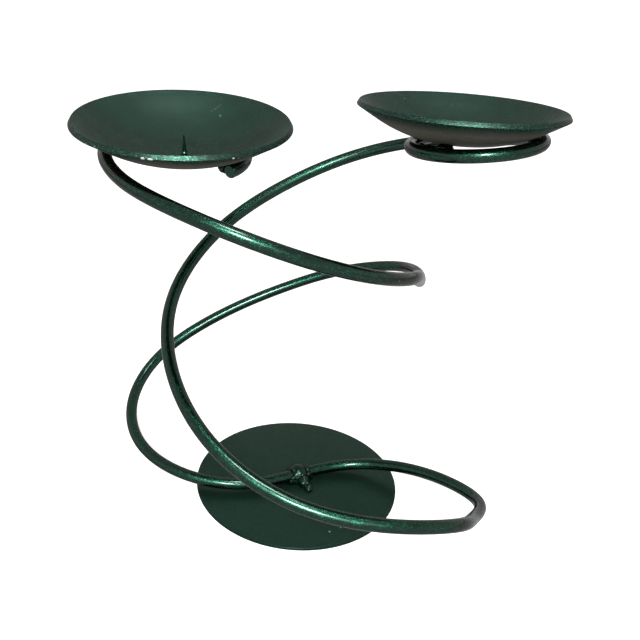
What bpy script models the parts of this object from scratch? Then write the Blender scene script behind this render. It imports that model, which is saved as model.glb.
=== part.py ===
"""Steel candle holder: a round base plate, two hand-bent rod arms and two dishes with a spike each.

Metres, +Z up. The origin is the centre of the base plate's underside, and +X points from the left
dish to the right one.
"""
import math

import bmesh
import bpy
import numpy as np
from mathutils import Matrix, Vector

# Overall sizes
SWIRL_REACH = 0.100
SWIRL_RISE = 0.200
DISH_OPENING = 0.090
BASE_DIAMETER = 0.106

# Stock and gaps
ROD_DIAMETER = 0.006
PLATE_THICKNESS = 0.0015
PLATE_EDGE_BEVEL = 0.0003
CUT_END_CHAMFER = 0.0005
CLEARANCE = 0.0003
ROOT_GAP = 0.0012

# Dish, turned from one sheet: a small flat floor, a wide curve and a straight wall
DISH_SHEET = 0.0024
DISH_WALL_SLOPE = math.radians(30.75)
DISH_FLOOR_RADIUS = 0.005
DISH_CURVE_RADIUS = 0.0645
DISH_RIM_BEVEL = 0.0003

# Spike that holds the candle
SPIKE_DIAMETER = 0.0019
SPIKE_TIP_DIAMETER = 0.0006
SPIKE_FOOT_DIAMETER = 0.0034
SPIKE_FOOT_HEIGHT = 0.0008
SPIKE_FOOT_EDGE = 0.0003

# Weld bead between a ring and its dish, in shares of the rod it joins. Its middle lies part of
# the way from the rod to the dish and a little beside the rod.
TACK_LENGTH = 1.35 * ROD_DIAMETER
TACK_WIDTH = 0.9 * ROD_DIAMETER
TACK_WAY_TO_DISH = 0.6
TACK_ASIDE = 0.6 * ROD_DIAMETER

# Facets
ROD_SIDES = 12
ROD_STEP = 0.0050
DISH_STEPS = 56
PLATE_STEPS = 72
SPIKE_STEPS = 16
CURVE_STEPS = 6
SHARP_DEGREES = 35
LUMP_SHARP_DEGREES = 60

# Turn, in radians, over which a ring's direction is taken
GLANCE = 0.001

# A bend is its turn about the base's centre, clockwise seen from above and counted from the
# arm's own side, then its reach and its rise in hundredths of SWIRL_REACH and SWIRL_RISE.
# A ring is its centre along, across and up in the same shares, then its own radius, the slopes
# of its plane along and across, the turn where the arm runs into it and how far round it goes.
LEFT_ARM = {
    "facing": math.pi,
    "bends": (
        (-28, 28, 0.5), (5, 86.5, 3.6), (20, 101.6, 8.2), (35, 105.7, 14.7), (50, 100.2, 22.1),
        (80, 95.2, 33.1), (100, 96.8, 39.7), (120, 93.3, 45.5), (140, 72.2, 50.5),
        (160, 55.3, 54.5), (185, 48.2, 60.5), (215, 51.2, 65.2), (250, 60.8, 70.8),
        (280, 73.1, 77.1), (310, 84.4, 82.4), (335, 90.7, 84.1),
    ),
    "ring": {
        "centre": (63, 10, 85.5), "radius": 0.0293, "lean": (-1.1, 5.3), "start": -2, "sweep": 211,
    },
    "dish": {"shift": (0.0032, -0.0011), "lean": (-0.75, -4.4)},
    "spike": {"height": 0.0084, "shift": (0.0012, -0.0045), "lean": (0, 0)},
    "tacks": (334, 176, 75),
}
RIGHT_ARM = {
    "facing": 0.0,
    "bends": (
        (-21, 28, 0.5), (5, 71, 5.3), (20, 95, 8.5), (35, 99.6, 13.6), (50, 106.4, 21.3),
        (80, 97.5, 26.8), (115, 84.8, 35), (150, 71.2, 44.2), (185, 64.1, 52.4), (215, 58.5, 61.6),
        (250, 56.1, 70.8), (280, 63.9, 77.8), (310, 81.2, 84.3), (335, 93, 88.8),
    ),
    "ring": {
        "centre": (65.5, 4.5, 91.4), "radius": 0.0282, "lean": (-8.7, 3.3), "start": -14, "sweep": 225,
    },
    "dish": {"shift": (-0.0073, 0.0017), "lean": (-1.35, 3.2)},
    "spike": {"height": 0.0062, "shift": (0.0, 0.0), "lean": (0, 0)},
    "tacks": (345, 228, 130),
}

# Lumps of the centre weld: place along, across and up from where the rods meet, then half sizes,
# all in hundredths of the rod's diameter
WELD_LUMPS = (
    ((0, -2, -13), (95, 90, 98)),
    ((-52, -40, -22), (66, 66, 73)),
    ((77, 35, -20), (63, 60, 85)),
    ((64, -62, -35), (48, 66, 57)),
    ((108, -120, -46), (33, 56, 34)),
    ((-17, 77, -37), (77, 50, 47)),
)
LUMP_UNIT = ROD_DIAMETER / 100

# Paints: linear RGB and roughness
GREEN_PAINT = (0.020, 0.070, 0.050), 0.35
DARK_GREEN_PAINT = (0.016, 0.036, 0.028), 0.45
GREY_GREEN_PAINT = (0.030, 0.058, 0.044), 0.40
WELD_PAINT = (0.014, 0.040, 0.030), 0.30
PAINT_METALLIC = 0.6

ROD_RADIUS = ROD_DIAMETER / 2
SEAT_HEIGHT = PLATE_THICKNESS + CLEARANCE + ROD_RADIUS
TURN_FULL = 2 * math.pi


def clear_scene():
    for thing in list(bpy.data.objects):
        bpy.data.objects.remove(thing, do_unlink=True)


def painted(name, paint):
    colour, roughness = paint
    material = bpy.data.materials.new(name)
    material.use_nodes = True
    shader = material.node_tree.nodes["Principled BSDF"]
    shader.inputs["Base Color"].default_value = (*colour, 1.0)
    shader.inputs["Roughness"].default_value = roughness
    shader.inputs["Metallic"].default_value = PAINT_METALLIC
    return material


def add_object(name, mesh, material=None):
    thing = bpy.data.objects.new(name, mesh)
    bpy.context.scene.collection.objects.link(thing)
    if material is not None:
        mesh.materials.clear()
        mesh.materials.append(material)
    return thing


def add_cutter(name, mesh):
    cutter = add_object(name, mesh)
    cutter.hide_render = True
    cutter.display_type = "WIRE"
    return cutter


def cut_by(thing, cutters):
    for cutter in cutters:
        boolean = thing.modifiers.new("cut by " + cutter.name, "BOOLEAN")
        boolean.operation = "DIFFERENCE"
        boolean.solver = "EXACT"
        boolean.object = cutter


def keep_main_body(thing, sharp_degrees):
    """Apply the Booleans and drop the slivers that a cut can leave beside the body."""
    depsgraph = bpy.context.evaluated_depsgraph_get()
    cut_mesh = bpy.data.meshes.new_from_object(thing.evaluated_get(depsgraph))
    bm = bmesh.new()
    bm.from_mesh(cut_mesh)
    bpy.data.meshes.remove(cut_mesh)
    unseen = set(bm.verts)
    bodies = []
    while unseen:
        front = [unseen.pop()]
        body = set(front)
        while front:
            vert = front.pop()
            near = {edge.other_vert(vert) for edge in vert.link_edges} & unseen
            unseen -= near
            body |= near
            front.extend(near)
        bodies.append(body)
    main_body = max(bodies, key=len)
    bmesh.ops.delete(bm, geom=[vert for vert in bm.verts if vert not in main_body], context="VERTS")
    material = thing.data.materials[0]
    thing.modifiers.clear()
    thing.data = finish_mesh(thing.name, bm, sharp_degrees)
    thing.data.materials.append(material)


def finish_mesh(name, bm, sharp_degrees=SHARP_DEGREES):
    bmesh.ops.recalc_face_normals(bm, faces=bm.faces)
    mesh = bpy.data.meshes.new(name)
    bm.to_mesh(mesh)
    bm.free()
    mesh.shade_smooth()
    mesh.set_sharp_from_angle(angle=math.radians(sharp_degrees))
    return mesh


def turned_mesh(name, outline, steps):
    """Spin an outline of (radius, height) points, which starts and ends on the axis, once round Z."""
    bm = bmesh.new()
    verts = [bm.verts.new((radius, 0, height)) for radius, height in outline]
    edges = [bm.edges.new(pair) for pair in zip(verts, verts[1:])]
    bmesh.ops.spin(
        bm, geom=verts + edges, cent=(0, 0, 0), axis=(0, 0, 1), angle=TURN_FULL, steps=steps, use_merge=True
    )
    bmesh.ops.remove_doubles(bm, verts=bm.verts, dist=1e-6)
    return finish_mesh(name, bm)


def arc(centre, radius, start, end, steps):
    """Points on an arc in the outline's plane. Angles are from straight down, outwards positive."""
    angles = [start + (end - start) * step / steps for step in range(steps + 1)]
    return [(centre[0] + radius * math.sin(a), centre[1] - radius * math.cos(a)) for a in angles]


def smooth_curve(points, end_direction):
    """Cubic spline through the points by chord length: free at its start, led into end_direction."""
    chords = np.linalg.norm(np.diff(points, axis=0), axis=1)
    count = len(points)
    system = np.zeros((count, count))
    right = np.zeros((count, 3))
    system[0, 0] = 1.0
    for i in range(1, count - 1):
        before, after = chords[i - 1], chords[i]
        system[i, i - 1: i + 2] = before, 2 * (before + after), after
        right[i] = 6 * ((points[i + 1] - points[i]) / after - (points[i] - points[i - 1]) / before)
    system[-1, -2:] = chords[-1], 2 * chords[-1]
    right[-1] = 6 * (end_direction - (points[-1] - points[-2]) / chords[-1])
    bend = np.linalg.solve(system, right)
    places = np.concatenate(([0.0], np.cumsum(chords)))

    def at(place):
        i = min(int(np.searchsorted(places, place, side="right")) - 1, count - 2)
        left, rest, chord = place - places[i], places[i + 1] - place, chords[i]
        return (
            (bend[i] * rest ** 3 + bend[i + 1] * left ** 3) / (6 * chord)
            + (points[i] / chord - bend[i] * chord / 6) * rest
            + (points[i + 1] / chord - bend[i + 1] * chord / 6) * left
        )

    return at, places[-1]


def swirl_point(along, across, rise):
    """Shares of the reach and the rise as a place, in the arm's own frame."""
    return np.array((along * SWIRL_REACH, across * SWIRL_REACH, rise * SWIRL_RISE)) / 100


def ring_point(ring, turn, radius=None):
    """A place on the ring's centreline, in the arm's own frame."""
    centre = swirl_point(*ring["centre"]) + (0, 0, SEAT_HEIGHT)
    size = ring["radius"] if radius is None else radius
    along, across = size * math.cos(turn), size * math.sin(turn)
    slope_along, slope_across = (math.tan(math.radians(lean)) for lean in ring["lean"])
    return centre + (along, across, -slope_along * along - slope_across * across)


def rod_path(arm):
    """The arm's centreline from the weld to the ring's cut end, at even steps."""
    ring = arm["ring"]
    points = [np.array((0.0, 0.0, SEAT_HEIGHT))]
    for turn, reach, rise in arm["bends"]:
        angle = math.radians(-turn)
        place = swirl_point(reach * math.cos(angle), reach * math.sin(angle), rise)
        points.append(place + (0, 0, SEAT_HEIGHT))
    start = math.radians(ring["start"])
    points.append(ring_point(ring, start))
    lead = ring_point(ring, start - GLANCE) - ring_point(ring, start)
    curve, length = smooth_curve(np.array(points), lead / np.linalg.norm(lead))
    steps = round(length / ROD_STEP)
    path = [curve(ROOT_GAP + (length - ROOT_GAP) * step / steps) for step in range(steps)]
    sweep = math.radians(ring["sweep"])
    steps = round(sweep * ring["radius"] / ROD_STEP)
    path += [ring_point(ring, start - sweep * step / steps) for step in range(steps + 1)]
    facing = np.array(Matrix.Rotation(arm["facing"], 3, "Z"))
    return [facing @ place for place in path]


def rod_mesh(name, path, radius, chamfer=0.0, longer=0.0):
    """A round rod along the path, chamfered where it was cut, or made longer at both ends."""
    path = [Vector(place) for place in path]
    first_run = (path[1] - path[0]).normalized()
    last_run = (path[-2] - path[-1]).normalized()
    path = [path[0] - first_run * longer] + path[1:-1] + [path[-1] - last_run * longer]
    if chamfer:
        path.insert(1, path[0] + first_run * chamfer)
        path.insert(-1, path[-1] + last_run * chamfer)
    curve = bpy.data.curves.new(name, "CURVE")
    curve.dimensions = "3D"
    curve.bevel_depth = radius
    curve.bevel_resolution = ROD_SIDES // 2 - 2
    curve.use_fill_caps = True
    spline = curve.splines.new("POLY")
    spline.points.add(len(path) - 1)
    for point, place in zip(spline.points, path):
        point.co = (*place, 1.0)
    if chamfer:
        spline.points[0].radius = spline.points[-1].radius = 1 - chamfer / radius
    guide = bpy.data.objects.new(name + " guide", curve)
    bpy.context.scene.collection.objects.link(guide)
    depsgraph = bpy.context.evaluated_depsgraph_get()
    mesh = bpy.data.meshes.new_from_object(guide.evaluated_get(depsgraph))
    bpy.data.objects.remove(guide, do_unlink=True)
    bm = bmesh.new()
    bm.from_mesh(mesh)
    bpy.data.meshes.remove(mesh)
    bmesh.ops.remove_doubles(bm, verts=bm.verts, dist=1e-7)
    return finish_mesh(name, bm)


def dish_levels(offset):
    """Outline of the dish's underside moved outwards by offset, from the axis to the wall's top."""
    curve_radius = DISH_CURVE_RADIUS + offset
    centre = (DISH_FLOOR_RADIUS, DISH_CURVE_RADIUS - DISH_SHEET)
    return centre, curve_radius, arc(centre, curve_radius, 0, DISH_WALL_SLOPE, CURVE_STEPS)


def wall_point(start, radius):
    """The point at a radius on the straight wall that goes on from start."""
    return (radius, start[1] + (radius - start[0]) * math.tan(DISH_WALL_SLOPE))


def dish_outline():
    """Outline of the dish, with z = 0 on the flat of its floor, from the axis out and back."""
    inner = dish_levels(-DISH_SHEET)[2]
    outer = dish_levels(0.0)[2]
    along = Vector((math.cos(DISH_WALL_SLOPE), math.sin(DISH_WALL_SLOPE)))
    out = Vector((math.sin(DISH_WALL_SLOPE), -math.cos(DISH_WALL_SLOPE)))
    inner_rim = Vector(wall_point(inner[-1], DISH_OPENING / 2))
    outer_rim = inner_rim + out * DISH_SHEET
    edge = DISH_RIM_BEVEL
    rim = [inner_rim - along * edge, inner_rim + out * edge, outer_rim - out * edge, outer_rim - along * edge]
    return [(0, 0)] + inner + [tuple(point) for point in rim] + outer[::-1] + [(0, -DISH_SHEET)]


def filled_dish_mesh():
    """The dish grown by the clearance and filled to its rim, to cut what lies against it."""
    outer = dish_levels(CLEARANCE)[2]
    rim = wall_point(outer[-1], DISH_OPENING / 2 + DISH_SHEET)
    return turned_mesh("dish clearance", [(0, rim[1])] + [rim] + outer[::-1] + [(0, outer[0][1])], DISH_STEPS)


def underside_height(radius, offset):
    """Height, in the dish's own frame, of the surface that lies offset outside its underside."""
    centre, curve_radius, curve = dish_levels(offset)
    if radius <= centre[0]:
        return centre[1] - curve_radius
    if radius <= curve[-1][0]:
        return centre[1] - math.sqrt(curve_radius ** 2 - (radius - centre[0]) ** 2)
    return wall_point(curve[-1], radius)[1]


def underside_slope(radius):
    """Slope of the dish's underside at a radius."""
    return min(math.asin(max(radius - DISH_FLOOR_RADIUS, 0.0) / DISH_CURVE_RADIUS), DISH_WALL_SLOPE)


def leaned(lean):
    """Rotation that leans Z by two angles, in degrees, towards +X and +Y."""
    direction = Vector((math.tan(math.radians(lean[0])), math.tan(math.radians(lean[1])), 1.0))
    return Vector((0, 0, 1)).rotation_difference(direction).to_matrix().to_4x4()


def world_ring(arm, turn):
    """A place on the ring's centreline, by its turn about the ring's centre in the world."""
    facing = Matrix.Rotation(arm["facing"], 3, "Z")
    return facing @ Vector(ring_point(arm["ring"], turn - arm["facing"]))


def seated_dish(arm):
    """World matrix of a dish that rests on its ring, one clearance above the rod."""
    facing = Matrix.Rotation(arm["facing"], 3, "Z")
    centre = facing @ Vector(ring_point(arm["ring"], 0.0, 0.0))
    origin = centre + Vector((*arm["dish"]["shift"], 0.0))
    place = Matrix.Translation(origin) @ leaned(arm["dish"]["lean"])
    inverse = place.inverted()
    ring = arm["ring"]
    lift = -math.inf
    for step in range(ring["sweep"] + 1):
        turn = math.radians(ring["start"] - step) + arm["facing"]
        local = inverse @ world_ring(arm, turn)
        surface = underside_height(math.hypot(local.x, local.y), ROD_RADIUS + CLEARANCE)
        lift = max(lift, local.z - surface)
    return place @ Matrix.Translation((0, 0, lift))


def make_base():
    """Thin round plate, softened at both edges."""
    radius = BASE_DIAMETER / 2
    edge = PLATE_EDGE_BEVEL
    outline = [
        (0, PLATE_THICKNESS), (radius - edge, PLATE_THICKNESS), (radius, PLATE_THICKNESS - edge),
        (radius, edge), (radius - edge, 0), (0, 0),
    ]
    mesh = turned_mesh("base_plate", outline, PLATE_STEPS)
    return add_object("base_plate", mesh, painted("base paint", DARK_GREEN_PAINT))


def make_arm(name, arm):
    mesh = rod_mesh(name, rod_path(arm), ROD_RADIUS, chamfer=CUT_END_CHAMFER)
    return add_object(name, mesh, painted(name + " paint", GREEN_PAINT))


def make_dish(name, mesh, place):
    dish = add_object(name, mesh)
    dish.matrix_world = place
    return dish


def make_spike(name, spike, dish):
    """Tapered pin on a small welded foot, standing on the dish's floor."""
    foot, root, tip = SPIKE_FOOT_DIAMETER / 2, SPIKE_DIAMETER / 2, SPIKE_TIP_DIAMETER / 2
    outline = [
        (0, spike["height"]), (tip, spike["height"] - tip), (root, SPIKE_FOOT_HEIGHT),
        (foot, SPIKE_FOOT_EDGE), (foot, 0), (0, 0),
    ]
    mesh = turned_mesh(name, outline, SPIKE_STEPS)
    pin = add_object(name, mesh, painted(name + " paint", GREEN_PAINT))
    pin.parent = dish
    lift = CLEARANCE + foot * math.tan(math.radians(max(abs(angle) for angle in spike["lean"])))
    pin.matrix_local = Matrix.Translation((*spike["shift"], lift)) @ leaned(spike["lean"])
    return pin


def lump(bm, place, half_sizes, turn=None):
    """One rounded blob, flattened to its half sizes and turned, added to bm."""
    matrix = Matrix.Translation(place)
    if turn is not None:
        matrix = matrix @ turn
    matrix = matrix @ Matrix.Diagonal((*half_sizes, 1.0))
    bmesh.ops.create_icosphere(bm, subdivisions=2, radius=1.0, matrix=matrix)


def make_tack(name, arm, place, turn_degrees, cutters):
    """Weld bead in the crease between a ring and the dish on it, on the ring's inner side."""
    turn = math.radians(turn_degrees)
    rod = world_ring(arm, turn)
    ahead = (world_ring(arm, turn + GLANCE) - rod).normalized()
    local = place.inverted() @ rod
    radius = math.hypot(local.x, local.y)
    slope = underside_slope(radius)
    gap = (underside_height(radius, 0.0) - local.z) * math.cos(slope)
    up = place.to_3x3() @ Vector((0, 0, 1))
    inward = up.cross(ahead).normalized()
    toward_dish = (up * math.cos(slope) + inward * math.sin(slope)).normalized()
    aside = toward_dish.cross(ahead).normalized()
    centre = rod + toward_dish * gap * TACK_WAY_TO_DISH + aside * TACK_ASIDE
    axes = Matrix((ahead, aside, toward_dish)).transposed().to_4x4()
    bm = bmesh.new()
    lump(bm, centre, (TACK_LENGTH / 2, TACK_WIDTH / 2, TACK_WIDTH / 2), axes)
    mesh = finish_mesh(name, bm, LUMP_SHARP_DEGREES)
    tack = add_object(name, mesh, painted(name + " paint", WELD_PAINT))
    cut_by(tack, cutters)
    keep_main_body(tack, LUMP_SHARP_DEGREES)


def make_weld(cutters):
    """Lumpy bead over the place where both rods meet, with a run down onto the plate."""
    parts = []
    for index, (place, half_sizes) in enumerate(WELD_LUMPS):
        bm = bmesh.new()
        centre = Vector(place) * LUMP_UNIT + Vector((0, 0, SEAT_HEIGHT))
        lump(bm, centre, [size * LUMP_UNIT for size in half_sizes])
        parts.append(finish_mesh("weld lump %d" % index, bm, LUMP_SHARP_DEGREES))
    weld = add_object("centre_weld", parts[0], painted("weld paint", WELD_PAINT))
    for index, mesh in enumerate(parts[1:], 1):
        union = weld.modifiers.new("lump %d" % index, "BOOLEAN")
        union.operation = "UNION"
        union.solver = "EXACT"
        union.object = add_cutter("weld lump %d" % index, mesh)
    cut_by(weld, cutters)
    keep_main_body(weld, LUMP_SHARP_DEGREES)


def plate_clearance():
    """Block from a rod's diameter below the ground up to one clearance above the plate."""
    top = PLATE_THICKNESS + CLEARANCE
    bm = bmesh.new()
    size = Matrix.Diagonal((BASE_DIAMETER, BASE_DIAMETER, top + ROD_DIAMETER, 1.0))
    middle = Matrix.Translation((0, 0, (top - ROD_DIAMETER) / 2))
    bmesh.ops.create_cube(bm, size=1.0, matrix=middle @ size)
    return add_cutter("plate clearance", finish_mesh("plate clearance", bm))


def build():
    clear_scene()
    make_base()
    dish_mesh = turned_mesh("dish", dish_outline(), DISH_STEPS)
    dish_mesh.materials.append(painted("dish paint", GREY_GREEN_PAINT))
    filled_dish = filled_dish_mesh()
    rod_cutters = []
    for side, arm in (("left", LEFT_ARM), ("right", RIGHT_ARM)):
        make_arm(side + "_arm", arm)
        rod_space = rod_mesh(
            side + " rod clearance", rod_path(arm), ROD_RADIUS + CLEARANCE, longer=2 * CLEARANCE
        )
        rod_cutters.append(add_cutter(side + " rod clearance", rod_space))
        place = seated_dish(arm)
        dish = make_dish(side + "_dish", dish_mesh, place)
        make_spike(side + "_spike", arm["spike"], dish)
        dish_cutter = add_cutter(side + " dish clearance", filled_dish)
        dish_cutter.matrix_world = place
        for number, turn in enumerate(arm["tacks"], 1):
            make_tack("%s_tack_%d" % (side, number), arm, place, turn, [rod_cutters[-1], dish_cutter])
    make_weld(rod_cutters + [plate_clearance()])


build()
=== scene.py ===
"""Looks of a painted steel candle holder: two swirled rod arms, two spiked dishes and a round base.

Metres, +Z up, in the packed part's own frame. Colours are linear RGB.
"""
import math

import bmesh
import bpy
import numpy as np
from bpy.props import FloatProperty, FloatVectorProperty, IntProperty, PointerProperty
from mathutils import Matrix, Vector, noise


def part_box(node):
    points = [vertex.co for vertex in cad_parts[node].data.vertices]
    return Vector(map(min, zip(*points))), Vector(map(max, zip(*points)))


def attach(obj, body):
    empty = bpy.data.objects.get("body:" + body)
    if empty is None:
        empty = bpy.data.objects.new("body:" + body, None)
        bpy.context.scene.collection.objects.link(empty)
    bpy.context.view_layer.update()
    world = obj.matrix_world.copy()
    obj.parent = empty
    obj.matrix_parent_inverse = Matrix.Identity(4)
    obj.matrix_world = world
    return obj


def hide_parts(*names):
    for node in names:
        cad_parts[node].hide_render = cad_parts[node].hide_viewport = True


bl_info = {
    "name": "Two-dish candle holder",
    "version": (1, 0, 0),
    "blender": (4, 5, 0),
    "location": "3D View > Sidebar > Candle holder",
    "description": "Builds the painted pieces of a two-dish candle holder round its packed frame",
    "category": "Object",
}

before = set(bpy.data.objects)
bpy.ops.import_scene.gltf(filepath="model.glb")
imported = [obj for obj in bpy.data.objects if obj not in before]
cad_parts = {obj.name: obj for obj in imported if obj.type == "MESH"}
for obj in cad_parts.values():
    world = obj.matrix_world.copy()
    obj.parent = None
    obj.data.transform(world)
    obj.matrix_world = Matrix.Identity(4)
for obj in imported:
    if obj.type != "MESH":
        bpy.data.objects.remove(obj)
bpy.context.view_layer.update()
ROOT = "root"
SIDES = ("left", "right")
CENTRE_WELD = "centre_weld"
BEADS = (CENTRE_WELD,) + tuple(
    "%s_tack_%d" % (side, number) for side in SIDES for number in (1, 2, 3)
)
# The tack whose weld runs on along its ring, and the arm that makes the ring.
RUN_TACK, RUN_ARM = "right_tack_2", "right_arm"

TURN_FULL = 2 * math.pi
MM_PER_METRE = 1000
# Points nearer than this are one, and an edge that bends by more than this stays sharp.
MERGE_DISTANCE = 1e-7
SHARP_ANGLE = math.radians(40)
# A corner whose half angle is over this isn't rounded, and the others get this many facets.
NEARLY_STRAIGHT = math.radians(80)
CORNER_STEPS = 5
# Facets round a packed arm, which is how many points each ring of its mesh has.
PACKED_ROD_SIDES = 12
ROD_CURVE_RESOLUTION = 16
# The cut edge: how far inside a dish's opening it starts, and how far up or down the plate may
# face on it, from 0 to 1.
RIM_BAND = 0.00005
EDGE_FACING = 0.9
# A drop of weld: its rounds of subdivision, and the places of drops between two rings of the arm.
DROP_DETAIL = 3
DROP_SHARES = (0.0, 0.25, 0.5, 0.75)

# Marks in the paint: place and half sizes in millimetres, and how much of the ground shows.
DISH_CHIPS = (
    ((-48.7, 19.0, 186.3), (0.55, 0.9, 0.6), 0.30), ((-52.9, 22.0, 187.5), (0.8, 0.6, 0.5), 0.07),
    ((-51.7, 23.1, 188.2), (0.8, 0.6, 0.5), 0.10), ((-50.6, 24.1, 188.9), (0.8, 0.6, 0.5), 0.08),
    ((-49.5, 25.0, 189.6), (0.8, 0.6, 0.5), 0.11), ((-49.7, 28.8, 192.5), (0.5, 0.4, 0.4), 0.08),
    ((-66.4, -57.3, 185.2), (1.0, 0.8, 0.7), 0.9), ((-63.6, -57.8, 185.2), (1.3, 0.8, 0.6), 1.0),
    ((-34.0, -50.0, 186.1), (0.6, 0.7, 0.5), 0.9), ((-32.3, -48.2, 185.9), (0.5, 0.6, 0.5), 0.7),
    ((-90.5, -46.4, 185.9), (0.7, 0.5, 0.5), 0.2), ((-86.2, -49.6, 185.9), (0.8, 0.5, 0.5), 0.25),
    ((44.4, -30.0, 198.3), (0.3, 0.3, 0.3), 0.4), ((45.7, -18.7, 192.1), (0.3, 0.4, 0.3), 0.2),
    ((35.1, 39.6, 197.4), (0.4, 0.5, 0.4), 0.3), ((38.0, -34.6, 202.9), (0.5, 0.5, 0.4), 0.15),
)
BASE_CHIPS = (
    ((23.6, -35.7, 1.5), (0.4, 0.5, 0.4), 0.5), ((18.2, -39.3, 1.5), (0.5, 0.6, 0.4), 0.6),
)
ROD_CHIPS = (
    ((34.4, -47.7, 141.2), (0.4, 0.4, 0.5), 0.35), ((35.6, -45.6, 139.0), (0.3, 0.3, 0.4), 0.3),
)
# The run of weld down to the plate: middle and radius in millimetres.
WELD_RUN = (
    ((1.4, -3.2, 7.6), 0.7), ((2.6, -3.8, 7.0), 0.6), ((3.7, -4.4, 6.2), 0.55),
    ((4.7, -5.2, 5.2), 0.5), ((5.6, -6.2, 4.2), 0.5), ((6.5, -7.2, 3.3), 0.5),
    ((7.2, -8.1, 2.6), 0.55), ((7.8, -8.8, 2.3), 0.7),
)

# Paint: the noise levels between which flakes and mottle grow, the size of broad patches in lumps
# and their share in the mottle, the share of flakes left where the mottle is lowest, and how few
# flakes glint on a cut edge.
FLAKE_LEVELS = (0.46, 0.66)
MOTTLE_LEVELS = (0.62, 0.98)
BROAD_SIZE = 5.0
BROAD_SHARE = 0.6
FLAKES_LEFT = 0.35
GLINT_POWER = 3.0
# Chips: size and share of their ragged edge, the levels between which it fades, and what a full
# chip takes off the metallic share and off the film's height.
CHIP_GRAIN = 0.0007
CHIP_RAG = 1.2
CHIP_LEVELS = (1.45, 1.25)
CHIP_DULLS = 0.8
CHIP_DEPTH = 0.5

# Levels of the studio: the floor's grey, its own glow to the camera and as the paint mirrors it,
# the world as a light, and the room that the paint mirrors at the horizon and at the zenith.
FLOOR_GREY = 0.82
FLOOR_SEEN, FLOOR_MIRRORED = 0.82, 0.1
WORLD_LIGHT = 0.22
ROOM_HORIZON, ROOM_ZENITH = 1.1, 0.7
ROOM_TINT = (1.0, 1.0, 0.96)
WHITE = (1.0, 1.0, 1.0)
# Ways of the light: degrees to the right of the front, and degrees above the floor.
WINDOW_WAY, CEILING_WAY = (2, 37), (35, 80)
# Bright discs that only the paint mirrors: way, the degrees from the middle between which the
# disc fades, and brightness.
DISCS = (
    (WINDOW_WAY, 8.0, 10.0, 26.0), (WINDOW_WAY, 8.0, 32.0, 2.5), (CEILING_WAY, 5.0, 8.0, 30.0),
)
# Area lamps: name, way, width and height in metres, and watts.
LAMPS = (
    ("front window", WINDOW_WAY, (0.50, 0.45), 60.0),
    ("ceiling lamp", CEILING_WAY, (0.40, 0.40), 10.0),
)
LAMP_DISTANCE = 2.5
LAMP_AIM = (0, 0, 0.1)
SENSOR_WIDTH = 36.0
CLIP_NEAR, CLIP_FAR = 0.01, 50.0


class RodSettings(bpy.types.PropertyGroup):
    """Sizes of the two bent rods."""

    radius: FloatProperty(
        name="Radius", description="Half the bar's diameter", default=0.00297, unit="LENGTH"
    )
    step: FloatProperty(
        name="Step", description="Spacing of the rod's rings", default=0.0007, unit="LENGTH"
    )
    sides: IntProperty(name="Sides", description="Facets round the rod", default=32)
    end_bevel: FloatProperty(
        name="End bevel", description="How far the cut ends are rounded", default=0.0006,
        unit="LENGTH",
    )
    lump_height: FloatProperty(
        name="Lump height", description="How deep the hollows of the paint film are",
        default=0.00007, unit="LENGTH",
    )
    lump_size: FloatProperty(
        name="Lump size", description="Width of one lump of the paint film", default=0.0035,
        unit="LENGTH",
    )
    seed: IntProperty(name="Seed", description="Picks the pattern of lumps", default=3)


class DishSettings(bpy.types.PropertyGroup):
    """Sizes of the two dishes, turned from one sheet."""

    opening: FloatProperty(
        name="Opening", description="Width at the inner rim", default=0.08995, unit="LENGTH"
    )
    sheet: FloatProperty(
        name="Sheet", description="Thickness of the sheet", default=0.0024, unit="LENGTH"
    )
    slope: FloatProperty(
        name="Wall slope", description="Slope of the straight wall", default=math.radians(30.75),
        subtype="ANGLE",
    )
    floor_radius: FloatProperty(
        name="Floor radius", description="Radius of the flat floor", default=0.005, unit="LENGTH"
    )
    curve_radius: FloatProperty(
        name="Curve radius", description="Radius of the curve from floor to wall", default=0.0645,
        unit="LENGTH",
    )
    curve_steps: IntProperty(name="Curve steps", description="Facets along the curve", default=24)
    rim_round: FloatProperty(
        name="Rim rounding", description="Radius at both corners of the rim", default=0.0004,
        unit="LENGTH",
    )
    steps: IntProperty(name="Steps", description="Facets round the dish", default=256)


class BaseSettings(bpy.types.PropertyGroup):
    """Finish of the round plate."""

    edge_round: FloatProperty(
        name="Edge rounding", description="Radius at both corners of the edge", default=0.00035,
        unit="LENGTH",
    )
    steps: IntProperty(name="Steps", description="Facets round the plate", default=256)


class PinSettings(bpy.types.PropertyGroup):
    """Sizes of the spikes."""

    root: FloatProperty(
        name="Root", description="Diameter above the foot", default=0.0018, unit="LENGTH"
    )
    tip: FloatProperty(
        name="Tip", description="Diameter at the tip", default=0.0006, unit="LENGTH"
    )
    foot: FloatProperty(
        name="Foot", description="Diameter of the foot", default=0.0025, unit="LENGTH"
    )
    foot_height: FloatProperty(
        name="Foot height", description="Height of the foot", default=0.0009, unit="LENGTH"
    )
    edge_round: FloatProperty(
        name="Edge rounding", description="Radius at each corner", default=0.0001, unit="LENGTH"
    )
    steps: IntProperty(name="Steps", description="Facets round the spike", default=32)


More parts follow.
